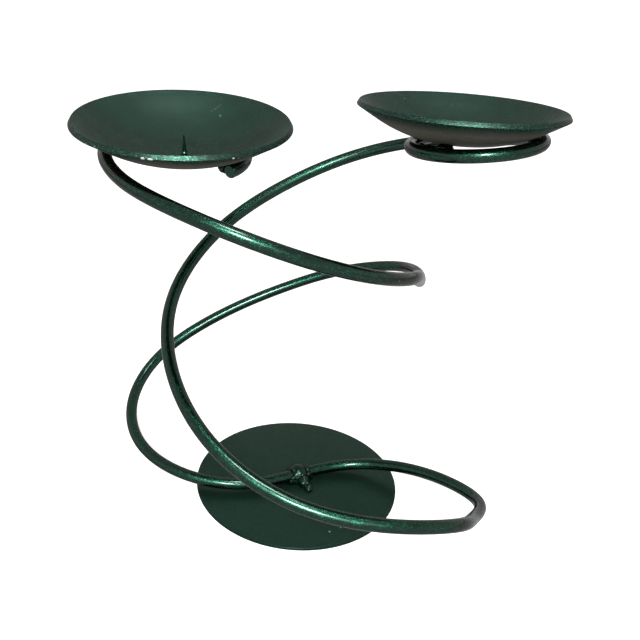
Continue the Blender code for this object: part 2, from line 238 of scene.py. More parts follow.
class BeadSettings(bpy.types.PropertyGroup):
    """Form of the weld beads."""

    voxel: FloatProperty(
        name="Voxel", description="Size of the bead's facets", default=0.00022, unit="LENGTH"
    )
    soften: IntProperty(name="Soften", description="Rounds of smoothing", default=6)
    growth: FloatProperty(
        name="Growth", description="How far a bead grows over its packed form", default=0.0004,
        unit="LENGTH",
    )
    lump_height: FloatProperty(
        name="Lump height", description="Height of its lumps", default=0.0003, unit="LENGTH"
    )
    lump_size: FloatProperty(
        name="Lump size", description="Width of its lumps", default=0.0018, unit="LENGTH"
    )
    run: FloatProperty(
        name="Ring run", description="Length of the bead along the right ring", default=0.014,
        unit="LENGTH",
    )
    drop: FloatProperty(
        name="Drop radius", description="Half width of that bead", default=0.0013, unit="LENGTH"
    )


class PaintSettings(bpy.types.PropertyGroup):
    """Colours of the green paint."""

    deep: FloatVectorProperty(
        name="Deep green", description="Paint between its flakes",
        default=(0.0025, 0.021, 0.0125), subtype="COLOR",
    )
    flake: FloatVectorProperty(
        name="Flake green", description="Metal flakes in the rods' paint",
        default=(0.008, 0.074, 0.046), subtype="COLOR",
    )
    satin: FloatVectorProperty(
        name="Satin green", description="Thin paint on the dishes",
        default=(0.008, 0.028, 0.020), subtype="COLOR",
    )
    glint: FloatVectorProperty(
        name="Glint green", description="Flakes inside the dishes",
        default=(0.009, 0.048, 0.032), subtype="COLOR",
    )
    # Painted reflection: the darker mottle in the warm grey that is painted on the dishes'
    # undersides.
    shade: FloatVectorProperty(
        name="Under mottle", description="Patches of thicker paint under the dishes",
        default=(0.085, 0.088, 0.072), subtype="COLOR",
    )
    # Painted reflection: a warm grey on the dishes' undersides, which stands in for the lit floor
    # and room that they mirror.
    under: FloatVectorProperty(
        name="Under green", description="Thin, worn paint under the dishes",
        default=(0.125, 0.118, 0.100), subtype="COLOR",
    )
    # Painted shade: this darker ground on the cut edges of the dishes and the plate stands in for
    # the shade that falls on them.
    rim: FloatVectorProperty(
        name="Rim green", description="Thick paint on cut edges",
        default=(0.003, 0.017, 0.011), subtype="COLOR",
    )
    fleck: FloatVectorProperty(
        name="Fleck green", description="Flakes on cut edges",
        default=(0.040, 0.180, 0.130), subtype="COLOR",
    )
    plate: FloatVectorProperty(
        name="Plate green", description="Thin paint on the base",
        default=(0.0150, 0.042, 0.030), subtype="COLOR",
    )
    weld: FloatVectorProperty(
        name="Weld green", description="Thick paint on welds and spikes",
        default=(0.005, 0.022, 0.015), subtype="COLOR",
    )
    chip: FloatVectorProperty(
        name="Chip", description="Pale ground where the paint is chipped",
        default=(0.62, 0.66, 0.60), subtype="COLOR",
    )


class StageSettings(bpy.types.PropertyGroup):
    """Camera and floor."""

    camera_back: FloatProperty(
        name="Camera back", description="Distance in front", default=0.34133, unit="LENGTH"
    )
    camera_up: FloatProperty(
        name="Camera up", description="Height over the floor", default=0.26637, unit="LENGTH"
    )
    yaw: FloatProperty(
        name="Yaw", description="Turn to the right", default=math.radians(0.757), subtype="ANGLE"
    )
    pitch: FloatProperty(
        name="Pitch", description="Tilt down", default=math.radians(26.365), subtype="ANGLE"
    )
    roll: FloatProperty(
        name="Roll", description="Turn of the picture", default=math.radians(5.264),
        subtype="ANGLE",
    )
    lens: FloatProperty(
        name="Lens", description="Focal length in mm on a 36 mm sensor", default=44.454
    )
    floor: FloatProperty(
        name="Floor", description="Half the floor's width", default=8.0, unit="LENGTH"
    )


GROUPS = (
    RodSettings, DishSettings, BaseSettings, PinSettings, BeadSettings, PaintSettings,
    StageSettings,
)


def settings(kind):
    """The scene's own settings of a kind, such as rod or dish."""
    return getattr(bpy.context.scene, "holder_" + kind)


def paint_colour(name):
    """One colour of the paint, by the name of its setting, as RGB."""
    return tuple(getattr(settings("paint"), name))


def add_node(tree, kind, inputs=None, **values):
    """A node with its values set, and each input set to a value or linked to a socket."""
    node = tree.nodes.new(kind)
    for name, value in values.items():
        setattr(node, name, value)
    for key, value in (inputs or {}).items():
        socket = node.inputs[key]
        if isinstance(value, bpy.types.NodeSocket):
            tree.links.new(value, socket)
        else:
            socket.default_value = value
    return node


def new_group(name, kind, inputs, outputs):
    """A node group with named sockets, given as (name, socket type, default) rows."""
    tree = bpy.data.node_groups.new(name, kind)
    for label, socket_type, default in inputs:
        socket = tree.interface.new_socket(name=label, in_out="INPUT", socket_type=socket_type)
        if default is not None:
            socket.default_value = default
    for label, socket_type in outputs:
        tree.interface.new_socket(name=label, in_out="OUTPUT", socket_type=socket_type)
    given = tree.nodes.new("NodeGroupInput").outputs
    return tree, given, tree.nodes.new("NodeGroupOutput").inputs


def add_math(tree, operation, *values):
    node = add_node(tree, "ShaderNodeMath", dict(enumerate(values)), operation=operation)
    return node.outputs[0]


def add_vector(tree, operation, *values):
    """A vector sum, difference, product or quotient."""
    node = add_node(tree, "ShaderNodeVectorMath", dict(enumerate(values)), operation=operation)
    return node.outputs[0]


def add_scaled(tree, vector, scale):
    node = add_node(
        tree, "ShaderNodeVectorMath", {0: vector, "Scale": scale}, operation="SCALE"
    )
    return node.outputs[0]


def add_noise(tree, vector, size, detail=2.0, roughness=0.5):
    """Noise from 0 to 1 with lumps of about the given size in metres."""
    scaled = add_scaled(tree, vector, add_math(tree, "DIVIDE", 1.0, size))
    node = add_node(
        tree, "ShaderNodeTexNoise",
        {"Vector": scaled, "Scale": 1.0, "Detail": detail, "Roughness": roughness},
    )
    return node.outputs["Fac"]


def add_ramp(tree, value, low, high, to_low=0.0, to_high=1.0):
    """A smooth step from to_low to to_high, as a value goes from low to high."""
    node = add_node(
        tree, "ShaderNodeMapRange",
        {"Value": value, "From Min": low, "From Max": high, "To Min": to_low, "To Max": to_high},
        interpolation_type="SMOOTHSTEP",
    )
    return node.outputs["Result"]


def add_mix(tree, factor, first, second):
    """Mix of two colours, each a socket or RGB."""
    node = tree.nodes.new("ShaderNodeMix")
    node.data_type = "RGBA"
    sockets = [socket for socket in node.inputs if socket.enabled]
    for socket, value in zip(sockets, (factor, first, second)):
        if isinstance(value, bpy.types.NodeSocket):
            tree.links.new(value, socket)
        else:
            socket.default_value = (*value, 1.0)
    return next(socket for socket in node.outputs if socket.enabled)


def metal_flakes():
    """Group: flakes and brush lumps of a metallic paint, from a place in metres."""
    name = "metal flakes"
    if name in bpy.data.node_groups:
        return bpy.data.node_groups[name]
    tree, given, out = new_group(
        name, "ShaderNodeTree",
        [
            ("Place", "NodeSocketVector", None),
            ("Stretch", "NodeSocketVector", (1.0, 1.0, 1.0)),
            ("Flake size", "NodeSocketFloat", 0.00045), ("Lump size", "NodeSocketFloat", 0.0022),
            ("Grain", "NodeSocketFloat", 0.5),
        ],
        [
            ("Flakes", "NodeSocketFloat"), ("Mottle", "NodeSocketFloat"),
            ("Height", "NodeSocketFloat"),
        ],
    )
    place = add_vector(tree, "MULTIPLY", given["Place"], given["Stretch"])
    fine = add_noise(tree, place, given["Flake size"], detail=3.0, roughness=0.6)
    coarse = add_noise(tree, place, given["Lump size"])
    broad_size = add_math(tree, "MULTIPLY", given["Lump size"], BROAD_SIZE)
    broad = add_noise(tree, place, broad_size, detail=1.0)
    patches = add_math(tree, "ADD", coarse, add_math(tree, "MULTIPLY", broad, BROAD_SHARE))
    grain = add_math(tree, "MULTIPLY", fine, given["Grain"])
    for label, socket in (
        ("Flakes", add_ramp(tree, fine, *FLAKE_LEVELS)),
        ("Mottle", add_ramp(tree, patches, *MOTTLE_LEVELS)),
        ("Height", add_math(tree, "ADD", coarse, grain)),
    ):
        tree.links.new(socket, out[label])
    return tree


def grown_chip():
    """Group: mask of one ragged chip, scratch or pit round a centre, from a place in metres."""
    name = "grown chip"
    if name in bpy.data.node_groups:
        return bpy.data.node_groups[name]
    tree, given, out = new_group(
        name, "ShaderNodeTree",
        [
            ("Place", "NodeSocketVector", None), ("Centre", "NodeSocketVector", (0.0, 0.0, 0.0)),
            ("Half sizes", "NodeSocketVector", (0.001, 0.001, 0.001)),
        ],
        [("Mask", "NodeSocketFloat")],
    )
    from_centre = add_vector(tree, "SUBTRACT", given["Place"], given["Centre"])
    away = add_vector(tree, "DIVIDE", from_centre, given["Half sizes"])
    length = add_node(tree, "ShaderNodeVectorMath", {0: away}, operation="LENGTH")
    ragged = add_noise(tree, given["Place"], CHIP_GRAIN, detail=3.0, roughness=0.7)
    rag = add_math(tree, "MULTIPLY", ragged, CHIP_RAG)
    edge = add_math(tree, "ADD", length.outputs["Value"], rag)
    tree.links.new(add_ramp(tree, edge, *CHIP_LEVELS), out["Mask"])
    return tree


def new_material(name, constants):
    """A material with its Principled BSDF's own constants set on its sockets."""
    material = bpy.data.materials.new(name)
    material.use_nodes = True
    shader = material.node_tree.nodes["Principled BSDF"]
    for label, value in constants.items():
        shader.inputs[label].default_value = value
    return material, material.node_tree, shader


def object_place(tree):
    return add_node(tree, "ShaderNodeTexCoord").outputs["Object"]


def rod_place(tree):
    """The place along and across a rod, kept on its mesh by the rod's node tree."""
    length = add_node(tree, "ShaderNodeAttribute", attribute_name="rod_length").outputs["Fac"]
    section = add_node(tree, "ShaderNodeAttribute", attribute_name="rod_section")
    across = add_node(tree, "ShaderNodeSeparateXYZ", {0: section.outputs["Vector"]}).outputs
    place = add_node(
        tree, "ShaderNodeCombineXYZ", {0: length, 1: across["X"], 2: across["Y"]}
    )
    return place.outputs[0]


def band(tree, name):
    """A float kept on the mesh: 1 on a band of it, such as the rim, and 0 elsewhere."""
    return add_node(tree, "ShaderNodeAttribute", attribute_name=name).outputs["Fac"]


def chip_mask(tree, chips):
    """How much of the ground shows through the paint, from a list of chips."""
    mask = None
    for centre, half_sizes, strength in chips:
        chip = add_node(tree, "ShaderNodeGroup", node_tree=grown_chip())
        tree.links.new(object_place(tree), chip.inputs["Place"])
        for label, values in (("Centre", centre), ("Half sizes", half_sizes)):
            chip.inputs[label].default_value = [value / MM_PER_METRE for value in values]
        shown = add_math(tree, "MULTIPLY", chip.outputs["Mask"], strength)
        mask = shown if mask is None else add_math(tree, "MAXIMUM", mask, shown)
    return mask


def paint_finish(
    name, place_of, ground, fleck, film, roughness, bump, stretch=(1.0, 1.0, 1.0), under=None,
    rim=None, chips=(),
):
    """Green metallic paint: flecks over a ground, a lumpy film, banded colours, and chips.

    film is the shader's constants, roughness that of the mottle's lowest and highest patches, and
    bump its strength, depth and grain. under is a ground and a fleck for the underside, both
    painted reflection of the lit floor and room that it mirrors, a least roughness and a coat
    weight. rim is a darker ground, which is painted shade on the cut edges, a fleck and what a cut
    edge takes off the roughness.
    """
    material, tree, shader = new_material(name, film)
    bump_strength, bump_depth, grain = bump
    flakes = add_node(tree, "ShaderNodeGroup", node_tree=metal_flakes())
    tree.links.new(place_of(tree), flakes.inputs["Place"])
    flakes.inputs["Stretch"].default_value = stretch
    flakes.inputs["Grain"].default_value = grain
    mottle, height = flakes.outputs["Mottle"], flakes.outputs["Height"]
    density = add_math(tree, "ADD", mottle, FLAKES_LEFT)
    amount = add_math(tree, "MULTIPLY", flakes.outputs["Flakes"], density)
    colour = add_mix(tree, amount, ground, fleck)
    rough = add_ramp(tree, mottle, 0.0, 1.0, *roughness)
    if under is not None:
        # The underside's colours are painted reflection of the lit floor and room below; its
        # roughness and coat are its finish.
        underside_reflection, underside_reflection_mottle, dull, coat = under
        share = band(tree, "under")
        tint = add_mix(tree, amount, underside_reflection, underside_reflection_mottle)
        colour = add_mix(tree, share, colour, tint)
        rough = add_math(tree, "MAXIMUM", rough, add_math(tree, "MULTIPLY", share, dull))
        weight = add_ramp(tree, share, 0.0, 1.0, film["Coat Weight"], coat)
        tree.links.new(weight, shader.inputs["Coat Weight"])
    if rim is not None:
        # The cut edge's darker ground is painted shade; its sparse bright flecks are flakes.
        painted_edge_shade, rim_fleck, gloss = rim
        share = band(tree, "rim")
        glints = add_math(tree, "POWER", flakes.outputs["Flakes"], GLINT_POWER)
        tint = add_mix(tree, glints, painted_edge_shade, rim_fleck)
        colour = add_mix(tree, share, colour, tint)
        rough = add_math(tree, "SUBTRACT", rough, add_math(tree, "MULTIPLY", share, gloss))
    if chips:
        mask = chip_mask(tree, chips)
        colour = add_mix(tree, mask, colour, paint_colour("chip"))
        dulled = add_math(tree, "MULTIPLY", mask, CHIP_DULLS)
        metallic = add_math(tree, "SUBTRACT", film["Metallic"], dulled)
        tree.links.new(metallic, shader.inputs["Metallic"])
        sunk = add_math(tree, "MULTIPLY", mask, CHIP_DEPTH)
        height = add_math(tree, "SUBTRACT", height, sunk)
    lumps = add_node(
        tree, "ShaderNodeBump",
        {"Strength": bump_strength, "Distance": bump_depth, "Height": height},
    )
    tree.links.new(colour, shader.inputs["Base Color"])
    tree.links.new(rough, shader.inputs["Roughness"])
    tree.links.new(lumps.outputs["Normal"], shader.inputs["Normal"])
    return material


def paint_film(metallic, edge, coat, coat_roughness):
    """The shader's constants of one metallic paint; edge is the level of its grazing reflection."""
    return {
        "Metallic": metallic, "Specular Tint": (edge, edge, edge, 1.0), "Coat Weight": coat,
        "Coat Roughness": coat_roughness,
    }


def rod_paint():
    return paint_finish(
        "rod paint", rod_place, paint_colour("deep"), paint_colour("flake"),
        paint_film(metallic=1.0, edge=0.25, coat=0.45, coat_roughness=0.12),
        roughness=(0.21, 0.29), bump=(0.6, 0.0002, 1.0), stretch=(0.6, 1.0, 1.0),
        chips=ROD_CHIPS,
    )


def dish_paint():
    return paint_finish(
        "dish paint", object_place, paint_colour("satin"), paint_colour("glint"),
        paint_film(metallic=0.9, edge=0.3, coat=0.32, coat_roughness=0.45),
        roughness=(0.54, 0.62), bump=(0.5, 0.0003, 0.6),
        # The underside colours are painted reflection.
        under=(paint_colour("under"), paint_colour("shade"), 0.6, 0.06),
        # The cut edge's darker ground is painted shade.
        rim=(paint_colour("rim"), paint_colour("fleck"), 0.26), chips=DISH_CHIPS,
    )


def base_paint():
    return paint_finish(
        "base paint", object_place, paint_colour("plate"), paint_colour("satin"),
        paint_film(metallic=0.65, edge=0.2, coat=0.04, coat_roughness=0.15),
        roughness=(0.36, 0.42), bump=(0.2, 0.0002, 0.3),
        # The plate's side gets the same darker ground: painted shade.
        rim=(paint_colour("rim"), paint_colour("plate"), 0.0), chips=BASE_CHIPS,
    )


def spike_paint():
    return paint_finish(
        "spike paint", object_place, paint_colour("weld"), paint_colour("flake"),
        paint_film(metallic=1.0, edge=0.2, coat=0.3, coat_roughness=0.15),
        roughness=(0.34, 0.46), bump=(0.5, 0.0003, 0.6),
    )


def weld_paint():
    return paint_finish(
        "weld paint", object_place, paint_colour("weld"), paint_colour("deep"),
        paint_film(metallic=0.9, edge=0.2, coat=0.3, coat_roughness=0.1),
        roughness=(0.25, 0.40), bump=(0.3, 0.0003, 0.5),
    )


def packed_mesh(node_name):
    """A merged copy of a packed node's mesh, as a bmesh."""
    bm = bmesh.new()
    bm.from_mesh(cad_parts[node_name].data)
    bmesh.ops.remove_doubles(bm, verts=bm.verts, dist=MERGE_DISTANCE)
    return bm


def turned_axis(node_name):
    """Centre and axis of a turned node, the axis pointing up, and its lowest and highest level."""
    bm = packed_mesh(node_name)
    points = np.array([tuple(vert.co) for vert in bm.verts])
    bm.free()
    centre = points.mean(axis=0)
    spread, ways = np.linalg.eigh(np.cov((points - centre).T))
    alone = 0 if spread[1] - spread[0] > spread[2] - spread[1] else 2
    axis = ways[:, alone] * (1 if ways[2, alone] > 0 else -1)
    levels = (points - centre) @ axis
    return Vector(centre), Vector(axis), levels.min(), levels.max()


def centreline(node_name):
    """Middle of each ring of a rod's mesh, from its root at the plate to its cut end."""
    bm = packed_mesh(node_name)
    root = Vector((0, 0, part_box("base_plate")[1].z + settings("rod").radius))
    ring = sorted(bm.verts, key=lambda vert: (vert.co - root).length)[:PACKED_ROD_SIDES]
    seen = set(ring)
    line = []
    while ring:
        line.append(sum((vert.co for vert in ring), Vector()) / len(ring))
        after = {edge.other_vert(vert) for vert in ring for edge in vert.link_edges} - seen
        seen |= after
        ring = sorted(after, key=lambda vert: vert.index)
    bm.free()
    return line


def even_path(tree, given):
    """The centreline as a smooth curve in even steps, which keeps the length along it."""
    curve = add_node(tree, "GeometryNodeMeshToCurve", {"Mesh": given["Centreline"]})
    smooth = add_node(
        tree, "GeometryNodeCurveSplineType", {"Curve": curve.outputs[0]},
        spline_type="CATMULL_ROM",
    )
    fine = add_node(
        tree, "GeometryNodeSetSplineResolution",
        {"Geometry": smooth.outputs[0], "Resolution": ROD_CURVE_RESOLUTION},
    )
    even = add_node(
        tree, "GeometryNodeResampleCurve",
        {"Curve": fine.outputs[0], "Length": given["Step"]}, mode="LENGTH",
    )
    place = add_node(tree, "GeometryNodeSplineParameter").outputs["Length"]
    kept = add_node(
        tree, "GeometryNodeStoreNamedAttribute",
        {"Geometry": even.outputs[0], "Name": "rod_length", "Value": place},
    )
    return kept.outputs[0]


def round_section(tree, given):
    """The rod's round section, which keeps the place across it."""
    circle = add_node(
        tree, "GeometryNodeCurvePrimitiveCircle",
        {"Resolution": given["Sides"], "Radius": given["Radius"]},
    )
    across = add_node(tree, "GeometryNodeInputPosition").outputs[0]
    kept = add_node(
        tree, "GeometryNodeStoreNamedAttribute",
        {"Geometry": circle.outputs[0], "Name": "rod_section", "Value": across},
        data_type="FLOAT_VECTOR",
    )
    return kept.outputs[0]


def end_taper(tree, given):
    """Scale of the section: 1, and less within the bevel of a cut end."""
    place = add_node(tree, "GeometryNodeSplineParameter").outputs["Length"]
    whole = add_node(tree, "GeometryNodeSplineLength").outputs["Length"]
    to_end = add_math(tree, "MINIMUM", place, add_math(tree, "SUBTRACT", whole, place))
    share = add_math(tree, "DIVIDE", given["End bevel"], given["Radius"])
    narrow = add_math(tree, "SUBTRACT", 1.0, share)
    taper = add_node(
        tree, "ShaderNodeMapRange",
        {
            "Value": to_end, "From Min": 0.0, "From Max": given["End bevel"], "To Min": narrow,
            "To Max": 1.0,
        },
    )
    return taper.outputs["Result"]


def film_hollows(tree, given):
    """The move of each point of the rod inwards, into the hollows of its paint film."""
    position = add_node(tree, "GeometryNodeInputPosition").outputs[0]
    shift = add_node(tree, "ShaderNodeCombineXYZ", {0: given["Seed"]}).outputs[0]
    grid = add_vector(tree, "DIVIDE", position, given["Lump size"])
    lumps = add_node(
        tree, "ShaderNodeTexNoise",
        {"Vector": add_vector(tree, "ADD", grid, shift), "Scale": 1.0, "Detail": 2.0},
    )
    inwards = add_math(tree, "MULTIPLY", lumps.outputs["Fac"], -1.0)
    depth = add_math(tree, "MULTIPLY", inwards, given["Lump height"])
    normal = add_node(tree, "GeometryNodeInputNormal").outputs["Normal"]
    return add_scaled(tree, normal, depth)


def rod_tree():
    """Node tree: a polyline becomes a smooth painted rod with rounded cut ends."""
    tree, given, out = new_group(
        "bent rod", "GeometryNodeTree",
        [
            ("Centreline", "NodeSocketGeometry", None), ("Radius", "NodeSocketFloat", 0.003),
            ("Step", "NodeSocketFloat", 0.001), ("Sides", "NodeSocketInt", 24),
            ("End bevel", "NodeSocketFloat", 0.0005), ("Lump height", "NodeSocketFloat", 0.0001),
            ("Lump size", "NodeSocketFloat", 0.003), ("Seed", "NodeSocketInt", 0),
            ("Material", "NodeSocketMaterial", None),
        ],
        [("Rod", "NodeSocketGeometry")],
    )
    tube = add_node(
        tree, "GeometryNodeCurveToMesh",
        {
            "Curve": even_path(tree, given), "Profile Curve": round_section(tree, given),
            "Scale": end_taper(tree, given), "Fill Caps": True,
        },
    )
    lumpy = add_node(
        tree, "GeometryNodeSetPosition",
        {"Geometry": tube.outputs[0], "Offset": film_hollows(tree, given)},
    )
    real = add_node(tree, "GeometryNodeRealizeInstances", {"Geometry": lumpy.outputs[0]})
    painted = add_node(
        tree, "GeometryNodeSetMaterial",
        {"Geometry": real.outputs[0], "Material": given["Material"]},
    )
    tree.links.new(painted.outputs[0], out["Rod"])
    return tree


def plain_mesh(source, name):
    """The mesh that an object's modifiers make of it; the object itself is removed."""
    depsgraph = bpy.context.evaluated_depsgraph_get()
    mesh = bpy.data.meshes.new_from_object(source.evaluated_get(depsgraph), depsgraph=depsgraph)
    mesh.name = name
    bpy.data.objects.remove(source, do_unlink=True)
    return mesh


def grown_mesh(source, tree, inputs, name):
    """The plain mesh that a node tree makes of an object, which is then removed."""
    modifier = source.modifiers.new("grow", "NODES")
    modifier.node_group = tree
    sockets = {
        item.name: item.identifier for item in tree.interface.items_tree
        if item.in_out == "INPUT"
    }
    for label, value in inputs.items():
        modifier[sockets[label]] = value
    return plain_mesh(source, name)


def add_object(name, mesh, material=None):
    thing = bpy.data.objects.new(name, mesh)
    bpy.context.scene.collection.objects.link(thing)
    if material is not None:
        mesh.materials.clear()
        mesh.materials.append(material)
    return thing


def stand_for(thing, node_name):
    """Attaches a finished piece to the root body and hides the packed node that it stands for."""
    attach(thing, ROOT)
    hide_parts(node_name)


def smooth_mesh(mesh):
    mesh.shade_smooth()
    mesh.set_sharp_from_angle(angle=SHARP_ANGLE)


def turned_mesh(name, outline, steps, matrix, bands=None):
    """Spins an outline of (radius, height) points, which starts and ends on the axis, round Z.

    bands gives, for each name of a float attribute, a function of a point and its normal.
    """
    bm = bmesh.new()
    verts = [bm.verts.new((radius, 0, height)) for radius, height in outline]
    edges = [bm.edges.new(pair) for pair in zip(verts, verts[1:])]
    bmesh.ops.spin(
        bm, geom=verts + edges, cent=(0, 0, 0), axis=(0, 0, 1), angle=TURN_FULL, steps=steps,
        use_merge=True,
    )
    bmesh.ops.remove_doubles(bm, verts=bm.verts, dist=MERGE_DISTANCE)
    bmesh.ops.recalc_face_normals(bm, faces=bm.faces)
    bm.normal_update()
    kept = {
        label: [float(rule(vert.co, vert.normal)) for vert in bm.verts]
        for label, rule in (bands or {}).items()
    }
    bm.transform(matrix)
    mesh = bpy.data.meshes.new(name)
    bm.to_mesh(mesh)
    bm.free()
    for label, values in kept.items():
        mesh.attributes.new(label, "FLOAT", "POINT").data.foreach_set("value", values)
    smooth_mesh(mesh)
    return mesh


def upright(origin, axis):
    """Matrix that stands Z on an origin along an axis."""
    turn = Vector((0, 0, 1)).rotation_difference(axis).to_matrix().to_4x4()
    return Matrix.Translation(origin) @ turn


def rounded(outline, radius):
    """Replaces each corner of an outline, other than its ends, by an arc."""
    points = [Vector(outline[0])]
    for before, corner, after in zip(outline, outline[1:], outline[2:]):
        corner = Vector(corner)
        into = (Vector(before) - corner).normalized()
        away = (Vector(after) - corner).normalized()
        half = into.angle(away) / 2
        if half > NEARLY_STRAIGHT:
            points.append(corner)
            continue
        reach = radius / math.tan(half)
        centre = corner + (into + away).normalized() * radius / math.sin(half)
        start = corner + into * reach - centre
        end = corner + away * reach - centre
        turn = start.angle_signed(end)
        for step in range(CORNER_STEPS + 1):
            points.append(centre + Matrix.Rotation(-turn * step / CORNER_STEPS, 2) @ start)
    points.append(Vector(outline[-1]))
    return [tuple(point) for point in points]


def dish_profile():
    """The dish's outline, z = 0 on its floor: inside from the axis out, rim, and back below."""
    dish = settings("dish")
    wall = Vector((math.cos(dish.slope), math.sin(dish.slope)))
    out = Vector((wall.y, -wall.x))
    inner_radius = dish.curve_radius - dish.sheet
    centre = Vector((dish.floor_radius, inner_radius))
    angles = [dish.slope * step / dish.curve_steps for step in range(dish.curve_steps + 1)]
    rays = [Vector((math.sin(angle), -math.cos(angle))) for angle in angles]
    inner = [centre + ray * inner_radius for ray in rays]
    outer = [centre + ray * dish.curve_radius for ray in rays]
    rim = inner[-1] + wall * (dish.opening / 2 - inner[-1].x) / wall.x
    corners = rounded([inner[-1], rim, rim + out * dish.sheet, outer[-1]], dish.rim_round)
    inside = [(0, 0)] + [tuple(point) for point in inner]
    below = [tuple(point) for point in outer[::-1]] + [(0, -dish.sheet)]
    return inside + corners[1:-1] + below


def light_way(turn, lift):
    """Direction of a light, from degrees to the right of the front and above the floor."""
    turn, lift = math.radians(turn), math.radians(lift)
    ahead = math.cos(lift)
    return Vector((math.sin(turn) * ahead, -math.cos(turn) * ahead, math.sin(lift)))


def ray_kinds(tree):
    """Masks of the rays that the camera sees as they are, and of those that paint mirrors."""
    rays = add_node(tree, "ShaderNodeLightPath").outputs
    seen = add_math(tree, "MAXIMUM", rays["Is Camera Ray"], rays["Is Transmission Ray"])
    return seen, rays["Is Glossy Ray"]


class HOLDER_OT_arms(bpy.types.Operator):
    """Grow both bent rods along the packed arms' centrelines"""

    bl_idname = "candle_holder.arms"
    bl_label = "Make the arms"

    def execute(self, context):
        rod = settings("rod")
        tree = rod_tree()
        paint = rod_paint()
        for number, side in enumerate(SIDES):
            line = centreline(side + "_arm")
            path = bpy.data.meshes.new(side + " centreline")
            path.from_pydata(line, [(i, i + 1) for i in range(len(line) - 1)], [])
            guide = add_object(side + " guide", path)
            inputs = {
                "Radius": rod.radius, "Step": rod.step, "Sides": rod.sides,
                "End bevel": rod.end_bevel, "Lump height": rod.lump_height,
                "Lump size": rod.lump_size, "Seed": rod.seed + number, "Material": paint,
            }
            name = side + "_arm_rod"
            mesh = grown_mesh(guide, tree, inputs, name)
            smooth_mesh(mesh)
            stand_for(add_object(name, mesh, paint), side + "_arm")
        return {"FINISHED"}


class HOLDER_OT_dishes(bpy.types.Operator):
    """Turn both dishes and stand them where the packed ones are"""

    bl_idname = "candle_holder.dishes"
    bl_label = "Make the dishes"

    def execute(self, context):
        dish = settings("dish")
        paint = dish_paint()
        rim_start = dish.opening / 2 - RIM_BAND
        bands = {
            "rim": lambda co, normal: math.hypot(co.x, co.y) > rim_start,
            # The underside band, where the painted reflection goes.
            "under": lambda co, normal: normal.z < 0,
        }
        for side in SIDES:
            centre, axis, low, _ = turned_axis(side + "_dish")
            place = upright(centre + axis * (low + dish.sheet), axis)
            name = side + "_dish_shell"
            mesh = turned_mesh(name, dish_profile(), dish.steps, place, bands)
            stand_for(add_object(name, mesh, paint), side + "_dish")
        return {"FINISHED"}


class HOLDER_OT_base(bpy.types.Operator):
    """Turn the round plate with softened edges"""

    bl_idname = "candle_holder.base"
    bl_label = "Make the base"

    def execute(self, context):
        base = settings("base")
        low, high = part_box("base_plate")
        radius = (high.x - low.x) / 2
        corners = [(0, high.z), (radius, high.z), (radius, low.z), (0, low.z)]
        outline = rounded(corners, base.edge_round)
        # The side of the plate, where the painted shade goes.
        bands = {"rim": lambda co, normal: abs(normal.z) < EDGE_FACING}
        mesh = turned_mesh("base_disc", outline, base.steps, Matrix.Identity(4), bands)
        stand_for(add_object("base_disc", mesh, base_paint()), "base_plate")
        return {"FINISHED"}


class HOLDER_OT_spikes(bpy.types.Operator):
    """Turn the spike of each dish"""

    bl_idname = "candle_holder.spikes"
    bl_label = "Make the spikes"

    def execute(self, context):
        pin = settings("pin")
        paint = spike_paint()
        for side in SIDES:
            centre, axis, low, high = turned_axis(side + "_spike")
            height = high - low
            outline = [
                (0, height), (pin.tip / 2, height - pin.tip), (pin.root / 2, pin.foot_height),
                (pin.foot / 2, pin.foot_height / 3), (pin.foot / 2, 0), (0, 0),
            ]
            place = upright(centre + axis * low, axis)
            name = side + "_spike_pin"
            mesh = turned_mesh(name, rounded(outline, pin.edge_round), pin.steps, place)
            stand_for(add_object(name, mesh, paint), side + "_spike")
        return {"FINISHED"}


class HOLDER_OT_beads(bpy.types.Operator):
    """Grow the weld beads from the packed ones by a set growth, with drops and lumps"""

    bl_idname = "candle_holder.beads"
    bl_label = "Make the weld beads"

    def execute(self, context):
        bead = settings("bead")
        paint = weld_paint()
        for node_name in BEADS:
            mesh = self.bead_mesh(node_name, bead)
            stand_for(add_object(mesh.name, mesh, paint), node_name)
        return {"FINISHED"}

    def bead_mesh(self, node_name, bead):
        """A packed bead with its drops, melted into one lumpy form."""
        bm = packed_mesh(node_name)
        for centre, radius in self.drops(node_name, bead):
            place = Matrix.Translation(centre)
            bmesh.ops.create_icosphere(bm, subdivisions=DROP_DETAIL, radius=radius, matrix=place)
        rough = bpy.data.meshes.new(node_name + " rough")
        bm.to_mesh(rough)
        bm.free()
        block = add_object(node_name + " block", rough)
        remesh = block.modifiers.new("even facets", "REMESH")
        remesh.mode = "VOXEL"
        remesh.voxel_size = bead.voxel
        block.modifiers.new("soften", "SMOOTH").iterations = bead.soften
        mesh = plain_mesh(block, node_name + "_bead")
        self.swell(mesh, bead)
        mesh.shade_smooth()
        return mesh

    def drops(self, node_name, bead):
        """Drops of weld that a bead has beside its packed form, as (centre, radius)."""
        if node_name == CENTRE_WELD:
            return [
                (Vector(centre) / MM_PER_METRE, radius / MM_PER_METRE)
                for centre, radius in WELD_RUN
            ]
        if node_name == RUN_TACK:
            places = self.ring_run(node_name, RUN_ARM, bead)
            return [(centre, bead.drop) for centre in places]
        return []

    def ring_run(self, node_name, arm, bead):
        """Places from a tack along its ring towards -X, up to the end of the rod."""
        line = centreline(arm)
        low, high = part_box(node_name)
        tack = (low + high) / 2
        near = min(range(len(line)), key=lambda index: (line[index] - tack).length)
        lift = tack - line[near]
        way = 1 if line[near + 1].x < line[near].x else -1
        places = []
        index = near
        while 0 < index < len(line) - 1 and (line[index] - line[near]).length < bead.run:
            after = line[index + way]
            places += [line[index].lerp(after, share) + lift for share in DROP_SHARES]
            index += way
        return places

    def swell(self, mesh, bead):
        """Moves each point out by the growth and by a lumpy share of the lump height."""
        normals = [vert.normal.copy() for vert in mesh.vertices]
        for vert, normal in zip(mesh.vertices, normals):
            lumps = noise.noise(vert.co / bead.lump_size)
            vert.co += normal * (bead.growth + bead.lump_height * lumps)


